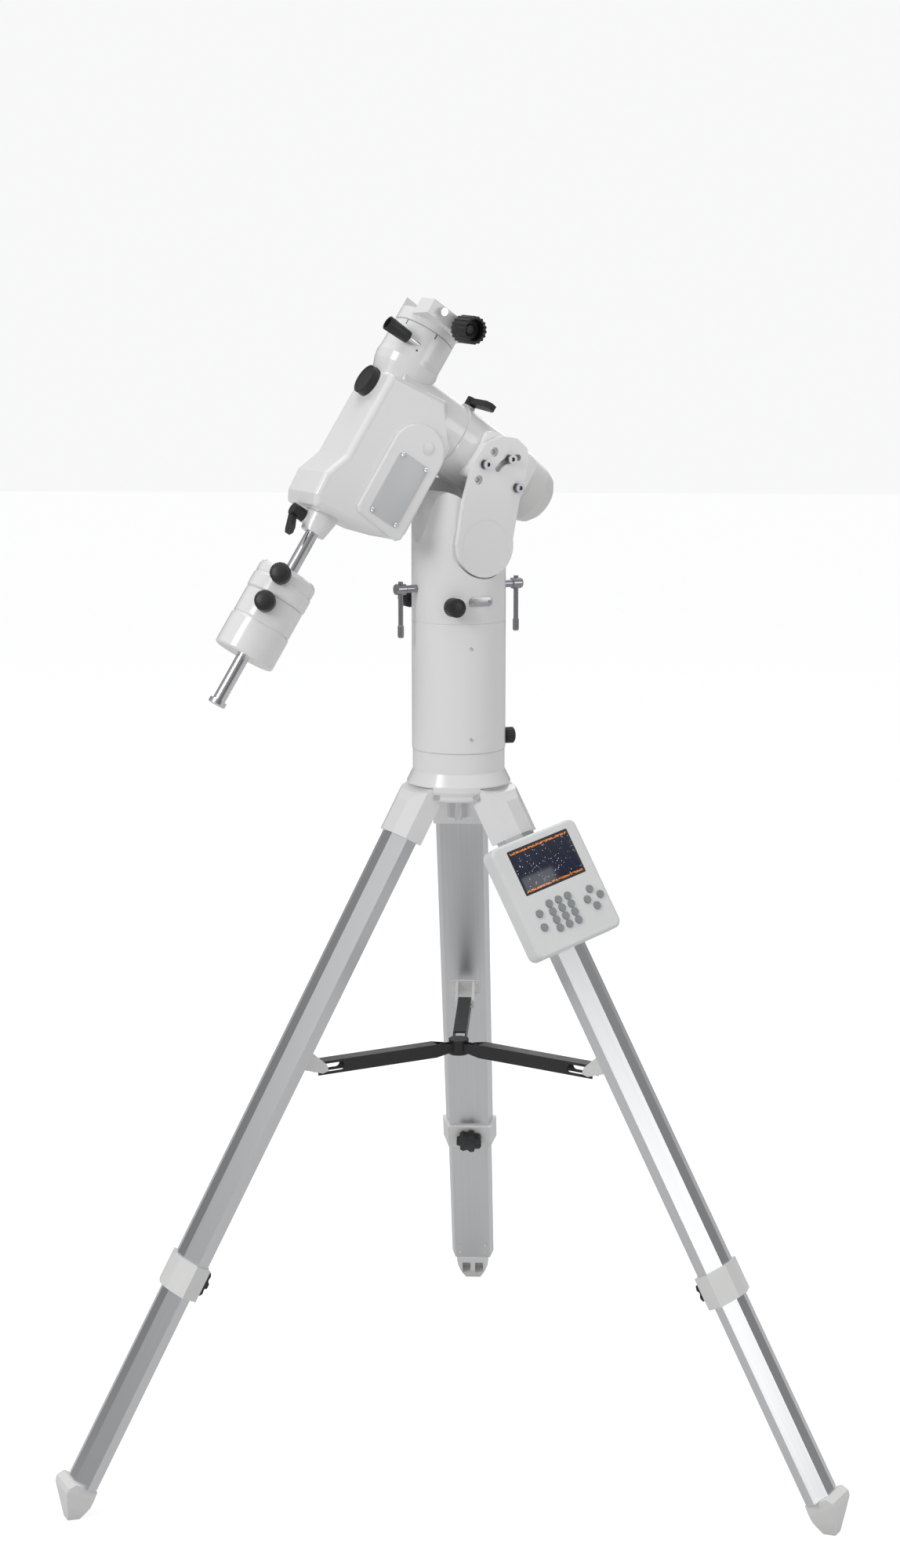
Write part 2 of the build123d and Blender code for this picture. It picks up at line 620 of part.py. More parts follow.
with BuildPart() as ra_shaft:
    rod(polar_plane(housing_end + 2), ra_shaft_radius, neck_start - housing_end + 63)
    rod(polar_plane(wheel_end), wheel_radius, wheel_start - wheel_end)
    rod(polar_plane(housing_end + 2), ra_shaft_radius + 8, 12)
    rod(polar_plane(housing_end + 2), 14, 200, Mode.SUBTRACT)
write(ra_shaft, "ra_shaft")

with BuildPart() as polar_cap:
    turned(polar_plane(cap_start), [(0, -8), (12.9, -8), (12.9, 0), (21, 0.1), (21.5, 2), (21.5, 11),
                             (20, 12.5), (0, 12.5)])
write(polar_cap, "polar_cap")

lock_height = -207.0
lock_out = 24.2
with BuildPart() as bar_holder:
    turned(dec_plane(0), [(bar_radius + running, case_floor), (22.5, case_floor), (22.5, -196),
                          (17.5, -221), (bar_radius + running, -221)])
    rod(Plane(axes_cross + dec * lock_height, x_dir=west, z_dir=pole), 9.5, 24)
    rod(dec_plane(-230), bar_radius + running, 60, Mode.SUBTRACT)
    rod(Plane(axes_cross + dec * lock_height, x_dir=west, z_dir=pole), 4 + running, 40, Mode.SUBTRACT)
write(bar_holder, "bar_holder")

with BuildPart() as bar_lock_lever:
    lock_foot = Plane(axes_cross + dec * lock_height + pole * lock_out, x_dir=west, z_dir=pole)
    rod(lock_foot, 9, 20)
    rod(lock_foot, 4, bar_radius + 0.4 - lock_out)
    with BuildSketch(lock_foot.offset(11)):
        with BuildLine():
            Polyline((-6, 2), (6, -6), (22, -24), (24, -32), (16, -36), (10, -30), (-6, -6), close=True)
        make_face()
    extrude(amount=8)
write(bar_lock_lever, "bar_lock_lever")

dec_wheel_start, dec_wheel_end = 66.0, 80.0
dec_wheel_radius = 27.0
dec_worm_out = dec_wheel_radius + worm_radius
clamp_out, clamp_above = 39.5, 73.0
with BuildPart() as dec_clamp_ring:
    turned(dec_plane(0), [
        (dec_shaft_radius + running, ring_start), (ring_radius, ring_start), (ring_radius, ring_end - 2),
        (ring_radius - 2, ring_end), (dec_shaft_radius + running, ring_end),
        (dec_shaft_radius + running, dec_wheel_end + 0.5), (dec_wheel_radius + 0.5, dec_wheel_end + 0.5),
        (dec_wheel_radius + 0.5, dec_wheel_start - 0.5), (dec_shaft_radius + running, dec_wheel_start - 0.5)])
    worm_line = axes_cross + dec * (dec_wheel_start + dec_wheel_end) / 2 - pole * dec_worm_out
    rod(Plane(worm_line - west * 16, x_dir=dec, z_dir=west), worm_radius + 0.3, 32, Mode.SUBTRACT)
    clamp_line = Plane(axes_cross + dec * clamp_above + west * clamp_out, x_dir=west, z_dir=pole)
    rod(clamp_line, 3.5 + running, 60, Mode.SUBTRACT)
write(dec_clamp_ring, "dec_clamp_ring")

with BuildPart() as dec_worm:
    thread = [(0, 0), (3, 0), (3, 3)]
    for turn_number in range(8):
        thread += [(worm_radius - 0.2, 4 + 3 * turn_number), (worm_radius - 1.6, 5.5 + 3 * turn_number)]
    thread += [(3, 27), (3, 30), (0, 30)]
    turned(Plane(worm_line - west * 15, x_dir=dec, z_dir=west), thread)
write(dec_worm, "dec_worm")

with BuildPart() as dec_clamp_lever:
    turned(clamp_line, [(0, 6), (3.5, 6), (3.5, 35), (8.5, 35), (10.5, 39), (10.5, 69), (9, 72), (7.5, 72),
                        (7.5, 66), (0, 66)])
write(dec_clamp_lever, "dec_clamp_lever")

with BuildPart() as dec_shaft:
    rod(dec_plane(-149), dec_shaft_radius, 149 + 112)
    rod(dec_plane(dec_wheel_start), dec_wheel_radius, dec_wheel_end - dec_wheel_start)
    rod(dec_plane(-149), bar_radius + 1.5, 280, Mode.SUBTRACT)
    rod(polar_plane(-60), 9, 120, Mode.SUBTRACT)
write(dec_shaft, "dec_shaft")

# ---------------------------------------------------------------- saddle
turned_pole = pole * cos(radians(dovetail_turn)) + west * sin(radians(dovetail_turn))
turned_west = west * cos(radians(dovetail_turn)) - pole * sin(radians(dovetail_turn))
saddle_start, saddle_end = 100.0, 133.0
groove_floor = saddle_end - dovetail_depth


def saddle_plane(along):
    """Ends square to the dovetail: x is across it to the west, y is up."""
    return Plane(axes_cross + turned_pole * along, x_dir=turned_west, z_dir=turned_pole)


clamp_face = 58.0
knob_along, knob_above = -12.0, 121.0
screw_along, screw_above = 26.0, 124.0
relief = 1.0
with BuildPart() as saddle:
    rod(dec_plane(saddle_start), saddle_radius, saddle_end - saddle_start)
    with BuildSketch(saddle_plane(-34)):
        with BuildLine():
            Polyline((20, saddle_start + 8), (clamp_face, saddle_start + 12), (clamp_face, saddle_end),
                     (20, saddle_end), close=True)
        make_face()
    extrude(amount=78)
    # Groove with one leaning wall, and a relief channel at each foot that keeps its floor clear of the lips
    with BuildSketch(saddle_plane(-60)):
        with BuildLine():
            lean = dovetail_depth * tan(radians(dovetail_lean))
            wide = dovetail_width / 2 + 1
            land = wide - lean - 0.5
            Polyline((-wide, groove_floor), (-wide, groove_floor - relief), (-land, groove_floor - relief),
                     (-land, groove_floor), (land, groove_floor), (land, groove_floor - relief),
                     (wide, groove_floor - relief), (wide, saddle_end + 1), (lean - wide, saddle_end + 1),
                     close=True)
        make_face()
    extrude(amount=120, mode=Mode.SUBTRACT)
    rod(dec_plane(saddle_start - 1), dec_shaft_radius, 13, Mode.SUBTRACT)
    rod(dec_plane(saddle_start - 1), bar_radius + 1.5, 40, Mode.SUBTRACT)
    for along, above, radius in ((knob_along, knob_above, 4.0), (screw_along, screw_above, 3.0)):
        line = axes_cross + turned_pole * along + dec * above + turned_west * 20
        rod(Plane(line, x_dir=dec, z_dir=turned_west), radius + running, 60, Mode.SUBTRACT)
write(saddle, "saddle")

with BuildPart() as saddle_knob:
    face = Plane(axes_cross + turned_pole * knob_along + dec * knob_above + turned_west * (clamp_face + 8),
                 x_dir=dec, z_dir=turned_west)
    with BuildSketch(face):
        Circle(19.5)
        with PolarLocations(19.5 + 1.2, 12):
            Circle(2.6, mode=Mode.SUBTRACT)
    extrude(amount=32)
    rod(face.offset(20), 14, 13, Mode.SUBTRACT)
    rod(face, 7, -6)
    rod(face.offset(-6), 4, -34)
write(saddle_knob, "saddle_knob")

with BuildPart() as safety_screw:
    face = Plane(axes_cross + turned_pole * screw_along + dec * screw_above
                 + turned_west * (clamp_face + gap), x_dir=dec, z_dir=turned_west)
    rod(face, 5.5, 9)
    rod(face, 3, -32)
write(safety_screw, "safety_screw")

# ---------------------------------------------------------------- counterweights
with BuildPart() as counterweight_bar:
    turned(dec_plane(0), [(0, bar_end), (bar_radius, bar_end), (bar_radius, -63), (bar_radius - 1, -62),
                          (0, -62)])
    turned(dec_plane(bar_end - 7), [(0, 0), (bar_radius + 2.5, 0), (bar_radius + 3.5, 1),
                                    (bar_radius + 3.5, 7), (0, 7)])
write(counterweight_bar, "counterweight_bar")

knob_side = west * cos(radians(weight_knob_turn)) + pole * sin(radians(weight_knob_turn))
for name, (low, high) in (("upper", upper_weight), ("lower", lower_weight)):
    crown = 7 if name == "upper" else 1.5
    waist = low + (high - low) * 0.56
    with BuildPart() as weight:
        turned(dec_plane(0), [
            (bar_radius + running, low), (weight_radius - 3, low), (weight_radius - 1, low + 1),
            (weight_radius, low + 3), (weight_radius, waist - 2.5), (weight_radius - 1.8, waist),
            (weight_radius - 1, waist + 2.5),
            (weight_radius - 1, high - crown), (weight_radius - 1 - crown / 3, high - crown / 3),
            (weight_radius - crown, high), (bar_radius + running, high)])
        face = Plane(axes_cross + dec * (high - weight_knob_drop) + knob_side * (weight_radius + 2),
                     x_dir=dec, z_dir=knob_side)
        rod(face, 4 + running, -weight_radius, Mode.SUBTRACT)
        rod(dec_plane(low - 1), bar_radius + running, high - low + 2, Mode.SUBTRACT)
    write(weight, f"weight_{name}")
    weight_knob = knob(face, weight_knob_radius, 17, 4, weight_radius + 2 - bar_radius - 0.2, 10, 2.6)
    write(weight_knob, f"weight_knob_{name}")

# ---------------------------------------------------------------- hand controller
panel_along, panel_side, panel_out = 166.0, -39.0, 46.4
hinge, down, out, tangent = leg_frame(leg_bearings[2])
lean_side, lean_out = 0.394, 0.919
panel_normal = out * lean_out - tangent * lean_side
panel_centre = hinge + down * panel_along + tangent * panel_side + out * panel_out
panel = Plane(panel_centre, x_dir=(down * -1).cross(panel_normal), z_dir=panel_normal)
front_wall, side_wall = 3.0, 3.0
window = (2.0, 39.0)
number_keys = [(x, y) for y in (-16, -28.3, -40.6, -53) for x in (-24, -7, 10)]
zoom_keys = [(-46, -24), (-48, -44)]
arrow_keys = [(49, -19.5), (62, -32), (38, -32), (49, -45)]
key_radius = 5.5
with BuildPart() as controller_case:
    with BuildSketch(panel.offset(-panel_depth / 2)):
        RectangleRounded(panel_width, panel_height, 12)
    extrude(amount=panel_depth)
    rims = faces().sort_by(Axis(panel_centre, panel_normal))
    fillet(rims[-1].edges(), 5)
    fillet(faces().sort_by(Axis(panel_centre, panel_normal))[0].edges(), 5)
    with BuildSketch(panel.offset(-panel_depth / 2 + side_wall)):
        RectangleRounded(panel_width - 2 * side_wall, panel_height - 2 * side_wall, 9)
    extrude(amount=panel_depth - side_wall - front_wall, mode=Mode.SUBTRACT)
    with BuildSketch(panel):
        with Locations(window):
            RectangleRounded(screen_width + 0.4, screen_height + 0.4, 2)
        with Locations(*number_keys, *zoom_keys, *arrow_keys):
            Circle(key_radius + gap)
    extrude(amount=panel_depth, mode=Mode.SUBTRACT)
write(controller_case, "controller_case")

with BuildPart() as controller_screen:
    with BuildSketch(panel.offset(panel_depth / 2 - front_wall)):
        with Locations(window):
            RectangleRounded(screen_width, screen_height, 2)
    extrude(amount=front_wall - 0.8)
    with BuildSketch(panel.offset(panel_depth / 2 - front_wall)):
        with Locations(window):
            Rectangle(screen_width + 6, screen_height + 6)
    extrude(amount=-2)
write(controller_screen, "controller_screen")

with BuildPart() as keypad:
    mat_top = panel_depth / 2 - front_wall - 0.1
    with BuildSketch(panel.offset(mat_top)):
        with Locations((4, -36)):
            RectangleRounded(132, 52, 5)
    extrude(amount=-2)
    with BuildSketch(panel.offset(mat_top)):
        with Locations(*number_keys, *zoom_keys, *arrow_keys):
            Circle(key_radius)
    extrude(amount=front_wall + 2.1)
write(keypad, "keypad")

with BuildPart() as controller_holder:
    back = panel.offset(-panel_depth / 2)
    facet_gap = 18.0
    with BuildSketch(back):
        with Locations((4, 0)):
            Rectangle(26, 90)
    extrude(amount=-facet_gap)
    leg_tube(leg_bearings[2], panel_along - 60, panel_along + 60, 0, Mode.SUBTRACT)
write(controller_holder, "controller_holder")
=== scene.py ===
"""Looks of the equatorial mount: enamel, anodised legs, moulded knobs, controller's face and small trim."""
import bpy
import bmesh
import json
import math
from mathutils import Matrix, Vector


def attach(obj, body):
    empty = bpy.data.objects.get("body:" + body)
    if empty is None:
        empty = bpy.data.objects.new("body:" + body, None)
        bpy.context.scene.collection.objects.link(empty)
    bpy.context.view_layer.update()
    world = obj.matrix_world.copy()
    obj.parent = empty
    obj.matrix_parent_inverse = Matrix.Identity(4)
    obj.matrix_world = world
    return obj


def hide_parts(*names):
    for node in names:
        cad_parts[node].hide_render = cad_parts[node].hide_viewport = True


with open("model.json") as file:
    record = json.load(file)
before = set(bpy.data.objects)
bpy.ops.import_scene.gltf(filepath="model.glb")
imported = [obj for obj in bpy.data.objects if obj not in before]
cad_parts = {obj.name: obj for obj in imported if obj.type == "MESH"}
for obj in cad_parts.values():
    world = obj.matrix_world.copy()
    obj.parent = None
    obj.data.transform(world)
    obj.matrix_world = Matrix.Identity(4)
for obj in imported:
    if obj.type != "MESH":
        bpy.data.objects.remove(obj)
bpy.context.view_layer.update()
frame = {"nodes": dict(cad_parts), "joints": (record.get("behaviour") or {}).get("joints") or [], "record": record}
nodes = frame["nodes"]

# ---------------------------------------------------------------- places, from the frame
joints = {joint["name"]: joint for joint in frame["joints"]}


def joint_place(name):
    """A hinge's point in the row frame."""
    return Vector(joints[name]["pos_m"])


def joint_way(name):
    """A joint's axis as a unit vector."""
    return Vector(joints[name]["axis"]).normalized()


up = Vector((0, 0, 1))
crossing = joint_place("right_ascension")
pole = joint_way("right_ascension")
dec = joint_way("declination")
west = dec.cross(pole).normalized()
north = west.cross(up)
pillar = joint_place("azimuth")
pillar.z = 0
leg_numbers = (1, 2, 3)


def basis(x_way, z_way, place):
    """Matrix that puts a shape modelled about the origin at a place, with its x and z along two ways."""
    z = z_way.normalized()
    x = (x_way - z * x_way.dot(z)).normalized()
    y = z.cross(x)
    turn = Matrix((x, y, z)).transposed().to_4x4()
    return Matrix.Translation(place) @ turn


def leg_frame(number):
    """A leg's hinge and its ways: down the leg, along its hinge pin, and out from the tripod's middle."""
    down = joint_way(f"leg_{number}_slide")
    across = joint_way(f"leg_{number}_fold")
    out = down.cross(across)
    return joint_place(f"leg_{number}_fold"), down, across, out if out.z > 0 else -out


# ---------------------------------------------------------------- shader maths
class Sock:
    """A shader socket, or a value, that takes part in sums."""

    def __init__(self, shader, socket):
        self.shader = shader
        self.socket = socket

    def _join(self, operation, first, second):
        return self.shader.node("ShaderNodeMath", {"operation": operation}, {0: first, 1: second})

    def __add__(self, other):
        return self._join("ADD", self, other)

    __radd__ = __add__

    def __sub__(self, other):
        return self._join("SUBTRACT", self, other)

    def __rsub__(self, other):
        return self._join("SUBTRACT", other, self)

    def __mul__(self, other):
        return self._join("MULTIPLY", self, other)

    __rmul__ = __mul__

    def __gt__(self, other):
        return self._join("GREATER_THAN", self, other)

    def __lt__(self, other):
        return self._join("LESS_THAN", self, other)

    def sine(self):
        return self.shader.node("ShaderNodeMath", {"operation": "SINE"}, {0: self})

    def absolute(self):
        return self.shader.node("ShaderNodeMath", {"operation": "ABSOLUTE"}, {0: self})


class Shader:
    """One material and the nodes that it is made of."""

    def __init__(self, name, **settings):
        self.material = bpy.data.materials.new(name)
        self.material.use_nodes = True
        self.tree = self.material.node_tree
        self.surface = next(n for n in self.tree.nodes if n.type == "BSDF_PRINCIPLED")
        for socket, value in settings.items():
            self.surface.inputs[socket.replace("_", " ")].default_value = value
        self.place = self.node("ShaderNodeTexCoord", {}, {}, "Object")

    def node(self, kind, settings, values, output=0):
        made = self.tree.nodes.new(kind)
        for name, value in settings.items():
            if name == "stops":
                ramp = made.color_ramp
                for number, (position, colour) in enumerate(value):
                    stop = ramp.elements[number] if number < 2 else ramp.elements.new(position)
                    stop.position = position
                    stop.color = colour
            else:
                setattr(made, name, value)
        for socket, value in values.items():
            if isinstance(value, Sock):
                self.tree.links.new(value.socket, made.inputs[socket])
            else:
                made.inputs[socket].default_value = value
        return Sock(self, made.outputs[output])

    def noise(self, scale, detail, where=None):
        return self.node("ShaderNodeTexNoise", {}, {"Vector": where or self.place, "Scale": scale,
                                                    "Detail": detail}, "Fac")

    def stretched(self, scale, x_way, z_way):
        """Object coordinates turned to a piece's own ways and stretched, for grain that runs along it."""
        turn = basis(x_way, z_way, Vector((0, 0, 0))).to_3x3().transposed().to_euler()
        turned = self.node("ShaderNodeMapping", {"vector_type": "POINT"},
                           {"Vector": self.place, "Rotation": turn}, "Vector")
        return self.node("ShaderNodeMapping", {"vector_type": "POINT"},
                         {"Vector": turned, "Scale": scale}, "Vector")

    def blend(self, factor, first, second):
        made = self.tree.nodes.new("ShaderNodeMix")
        made.data_type = "RGBA"
        for socket, value in ((0, factor), (6, first), (7, second)):
            if isinstance(value, Sock):
                self.tree.links.new(value.socket, made.inputs[socket])
            else:
                made.inputs[socket].default_value = value
        return Sock(self, made.outputs[2])

    def bump(self, height, strength, distance):
        normal = self.node("ShaderNodeBump", {}, {"Height": height, "Strength": strength,
                                                  "Distance": distance}, "Normal")
        self.feed("Normal", normal)

    def feed(self, socket, value):
        self.tree.links.new(value.socket, self.surface.inputs[socket])


def grey(value, tint):
    """A grey, warmer as the tint rises."""
    return (value, value * (1 - tint * 0.3), value * (1 - tint), 1)


def enamel(name, shade, tint, roughness):
    """Sprayed white enamel: faint orange peel, uneven gloss and a clear coat."""
    paint = Shader(name, Coat_Weight=0.35, Coat_Roughness=0.08)
    cloud = paint.noise(6, 2)
    paint.feed("Base Color", paint.blend(cloud, grey(shade, tint), grey(shade * 0.96, tint)))
    paint.feed("Roughness", paint.noise(35, 2) * 0.08 + (roughness - 0.04))
    paint.bump(paint.noise(380, 1), 0.05, 0.0006)
    return paint.material


def moulded(name, colour, roughness, grain=900, depth=0.12):
    """Moulded plastic with a fine spark-eroded grain."""
    plastic = Shader(name)
    cloud = plastic.noise(9, 2)
    darker = tuple(channel * 0.88 for channel in colour[:3]) + (1,)
    plastic.feed("Base Color", plastic.blend(cloud, colour, darker))
    plastic.feed("Roughness", plastic.noise(60, 2) * 0.12 + (roughness - 0.06))
    plastic.bump(plastic.noise(grain, 2), depth, 0.0004)
    return plastic.material


def metal(name, colour, roughness, streak_scale, x_way=Vector((1, 0, 0)), z_way=up, uneven=0.06,
          depth=0.0):
    """Bare metal with lines along its own length: uneven is how far they darken it, depth their relief."""
    bare = Shader(name, Metallic=1.0)
    lines = bare.noise(1, 3, bare.stretched(streak_scale, x_way, z_way))
    darker = tuple(channel * (1 - uneven) for channel in colour[:3]) + (1,)
    bare.feed("Base Color", bare.blend(lines, colour, darker))
    bare.feed("Roughness", lines * uneven + (roughness - uneven / 2))
    if depth:
        bare.bump(lines, depth, 0.0002)
    return bare.material


white_enamel = enamel("white enamel", 0.87, 0.006, 0.2)
white_pillar = enamel("white pillar enamel", 0.88, 0.004, 0.22)
white_iron = enamel("white weight enamel", 0.86, 0.01, 0.16)
white_moulding = moulded("white moulding", (0.8, 0.8, 0.785, 1), 0.36, 700, 0.06)
case_moulding = moulded("controller case moulding", (0.82, 0.825, 0.82, 1), 0.3, 800, 0.05)
black_moulding = moulded("black moulding", (0.018, 0.018, 0.019, 1), 0.42)
key_rubber = moulded("grey key rubber", (0.3, 0.32, 0.33, 1), 0.5, 900, 0.1)
nameplate_grey = moulded("nameplate grey", (0.66, 0.68, 0.69, 1), 0.35, 900, 0.04)
polished = metal("polished steel", (0.78, 0.78, 0.79, 1), 0.16, (120, 120, 120))
bar_steel = metal("turned bar steel", (0.72, 0.72, 0.73, 1), 0.2, (90, 90, 3), west, dec)
shaft_steel = metal("shaft steel", (0.6, 0.6, 0.61, 1), 0.28, (90, 90, 3), west, pole)
dark_steel = metal("dark chrome", (0.34, 0.34, 0.36, 1), 0.2, (120, 120, 120))
badge_metal = metal("brushed badge steel", (0.5, 0.5, 0.51, 1), 0.34, (20, 20, 900), west, up, 0.12)
brass = metal("turned brass", (0.75, 0.55, 0.24, 1), 0.25, (500, 500, 30), pole, west)
window_black = Shader("window black", Base_Color=(0.012, 0.012, 0.013, 1), Roughness=0.08, Coat_Weight=1.0,
                      Coat_Roughness=0.03).material

leg_metals = {}
for number in leg_numbers:
    _, down, across, _ = leg_frame(number)
    leg_metals[number] = metal(f"leg {number} anodised", (0.74, 0.75, 0.76, 1), 0.34, (420, 420, 2),
                               across, down, 0.1, 0.03)

slot_looks = {
    "white_enamel": white_enamel, "white_pillar": white_pillar, "weight_iron": white_iron,
    "white_plastic": white_moulding, "controller_white": case_moulding,
    "black_plastic": black_moulding, "grey_cover": key_rubber, "screen_glass": window_black,
    "bright_steel": polished, "dark_steel": dark_steel, "brass": brass,
    "leg_aluminium": leg_metals[1],
}
slot_of = {part["node"]: part["material_slot"] for part in frame["record"]["subparts"]}
node_looks = {"counterweight_bar": bar_steel, "ra_shaft": shaft_steel, "dec_shaft": shaft_steel,
              "altitude_axle": white_enamel, "plate_bolts": dark_steel}
for number in leg_numbers:
    for part in ("upper_tube", "lower_tube"):
        node_looks[f"leg_{number}_{part}"] = leg_metals[number]
for name, piece in nodes.items():
    look = node_looks.get(name, slot_looks[slot_of[name]])
    piece.data.materials.clear()
    piece.data.materials.append(look)


# ---------------------------------------------------------------- modelling by hand
def clear_selection():
    """Back to object mode with nothing selected."""
    if bpy.context.object and bpy.context.object.mode != "OBJECT":
        bpy.ops.object.mode_set(mode="OBJECT")
    bpy.ops.object.select_all(action="DESELECT")


def block(width, depth, height):
    """Box on the origin's plane, ready to shape."""
    clear_selection()
    bpy.ops.mesh.primitive_cube_add(size=1, location=(0, 0, height / 2), scale=(width, depth, height))
    bpy.ops.object.transform_apply(location=True, rotation=True, scale=True)
    return bpy.context.object


def disc(radius, height, sides=48):
    """Upright round blank on the origin's plane, ready to shape."""
    clear_selection()
    bpy.ops.mesh.primitive_cylinder_add(vertices=sides, radius=radius, depth=height,
                                        location=(0, 0, height / 2))
    bpy.ops.object.transform_apply(location=True, rotation=True, scale=True)
    return bpy.context.object


def pick(piece, wanted, what="faces"):
    """Selects the faces, edges or vertices that a test picks, in edit mode."""
    if piece.mode != "EDIT":
        bpy.ops.object.mode_set(mode="EDIT")
    bpy.ops.mesh.select_mode(type={"faces": "FACE", "edges": "EDGE", "verts": "VERT"}[what])
    bpy.ops.mesh.select_all(action="DESELECT")
    shape = bmesh.from_edit_mesh(piece.data)
    for element in getattr(shape, what):
        if wanted(element):
            element.select_set(True)
    bmesh.update_edit_mesh(piece.data)


def top_face(height):
    """Test for the faces that look up at a height."""
    return lambda face: face.normal.z > 0.9 and abs(face.calc_center_median().z - height) < 1e-5


def dome(piece, radius, height, steps):
    """Rings drawn in from the top face towards the axis, each raised or sunk: (inset, rise) pairs."""
    pick(piece, top_face(height))
    for inset, rise in steps:
        shrink = (radius - inset) / radius
        radius -= inset
        bpy.ops.mesh.extrude_region_move()
        bpy.ops.transform.resize(value=(shrink, shrink, 1), center_override=(0, 0, 0))
        bpy.ops.transform.translate(value=(0, 0, rise))


def flute(piece, ribs, squeeze, above=-1.0):
    """Ribs round a blank that has four corners to each rib: two of them are drawn in, above a height."""

    def valley(vert):
        corner = round(math.atan2(vert.co.y, vert.co.x) / math.tau * ribs * 4)
        return corner % 4 in (0, 1) and vert.co.z > above

    pick(piece, valley, "verts")
    bpy.ops.transform.resize(value=(squeeze, squeeze, 1), center_override=(0, 0, 0))


def shift(piece, rise):
    """Moves a blank up its own axis, or down it."""
    piece.data.transform(Matrix.Translation((0, 0, rise)))


def soften(piece, width, segments=2, angle=35):
    """Rounds the edges sharper than an angle and shades the piece smooth."""
    clear_selection()
    piece.select_set(True)
    bpy.context.view_layer.objects.active = piece
    bevel = piece.modifiers.new("soften", "BEVEL")
    bevel.width = width
    bevel.segments = segments
    bevel.limit_method = "ANGLE"
    bevel.angle_limit = math.radians(angle)
    bpy.ops.object.modifier_apply(modifier=bevel.name)
    bpy.ops.object.shade_smooth_by_angle(angle=math.radians(angle))


def join(pieces, name):
    """One piece from several."""
    clear_selection()
    for piece in pieces:
        piece.select_set(True)
    bpy.context.view_layer.objects.active = pieces[0]
    if len(pieces) > 1:
        bpy.ops.object.join()
    pieces[0].name = name
    return pieces[0]


def copies(piece, places):
    """The piece at each matrix, each copy with its own mesh; the first is the piece itself."""
    made = [piece] + [piece.copy() for _ in places[1:]]
    for copy in made[1:]:
        copy.data = piece.data.copy()
        bpy.context.scene.collection.objects.link(copy)
    for copy, place in zip(made, places):
        copy.data.transform(place)
    return made


def fit(piece, name, look, slot, body, *stands_for):
    """Names a finished piece, gives it its look, and sets what it rides on and replaces."""
    piece.name = name
    piece.data.materials.clear()
    piece.data.materials.append(look)
    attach(piece, body)
    if stands_for:
        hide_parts(*stands_for)
    return piece


body_of = {node: body for body, members in frame["record"]["behaviour"]["bodies"].items()
           for node in members}


def screw_blank(radius, height):
    """Round head with a round socket, half as wide, sunk in it."""
    head = disc(radius, height, 24)
    dome(head, radius, height, [(radius / 2, 0), (0.00001, -height * 0.6)])
    soften(head, radius * 0.12)
    return head


# ---------------------------------------------------------------- knobs and caps
knob_stem_radius = 0.004


def ribbed_knob(name, node, radius, height, ribs, rib_depth, stem, hollow=0.0):
    """Moulded knob with fine ribs round its rim and a domed face, or an open cup, on its stem."""
    place = joint_place(f"{node}_turn")
    way = joint_way(f"{node}_turn")
    foot_height, foot_share = height * 0.048, 0.82
    knob = disc(radius, height, ribs * 4)
    flute(knob, ribs, 1 - rib_depth / radius)
    if hollow:
        dome(knob, radius, height, [(radius * 0.16, 0.0005), (radius * 0.05, -0.0015), (0.0003, -hollow),
                                    (radius * 0.35, -0.0005), (radius * 0.05, 0.003), (radius * 0.1, 0.0005)])
    else:
        dome(knob, radius, height, [(radius * 0.1, 0.0006), (radius * 0.12, 0.0012), (radius * 0.3, 0.0011),
                                    (radius * 0.25, 0.0004)])
    pick(knob, lambda face: face.normal.z < -0.9 and face.calc_center_median().z < 1e-5)
    bpy.ops.mesh.extrude_region_move()
    bpy.ops.transform.resize(value=(foot_share, foot_share, 1), center_override=(0, 0, 0))
    bpy.ops.transform.translate(value=(0, 0, -foot_height))
    soften(knob, rib_depth * 0.3, 2, 25)
    shank = disc(knob_stem_radius, stem, 20)
    soften(shank, 0.0005)
    shift(shank, -stem)
    made = join([knob, shank], name)
    made.data.transform(basis(up.cross(way) if abs(way.z) < 0.9 else west, way, place))
    return fit(made, name, black_moulding, "black_plastic", body_of[node], node)


for weight in ("upper", "lower"):
    ribbed_knob(f"weight_knob_{weight}_ribbed", f"weight_knob_{weight}", 0.0145, 0.0145, 30, 0.0008, 0.034)
for side in ("west", "east"):
    ribbed_knob(f"azimuth_knob_{side}_domed", f"azimuth_knob_{side}", 0.0134, 0.0172, 24, 0.0005, 0.024)
ribbed_knob("saddle_knob_ribbed", "saddle_knob", 0.0194, 0.032, 18, 0.0016, 0.038, hollow=0.014)
ribbed_knob("pillar_knob_ribbed", "pillar_knob", 0.0118, 0.0122, 18, 0.0008, 0.008)


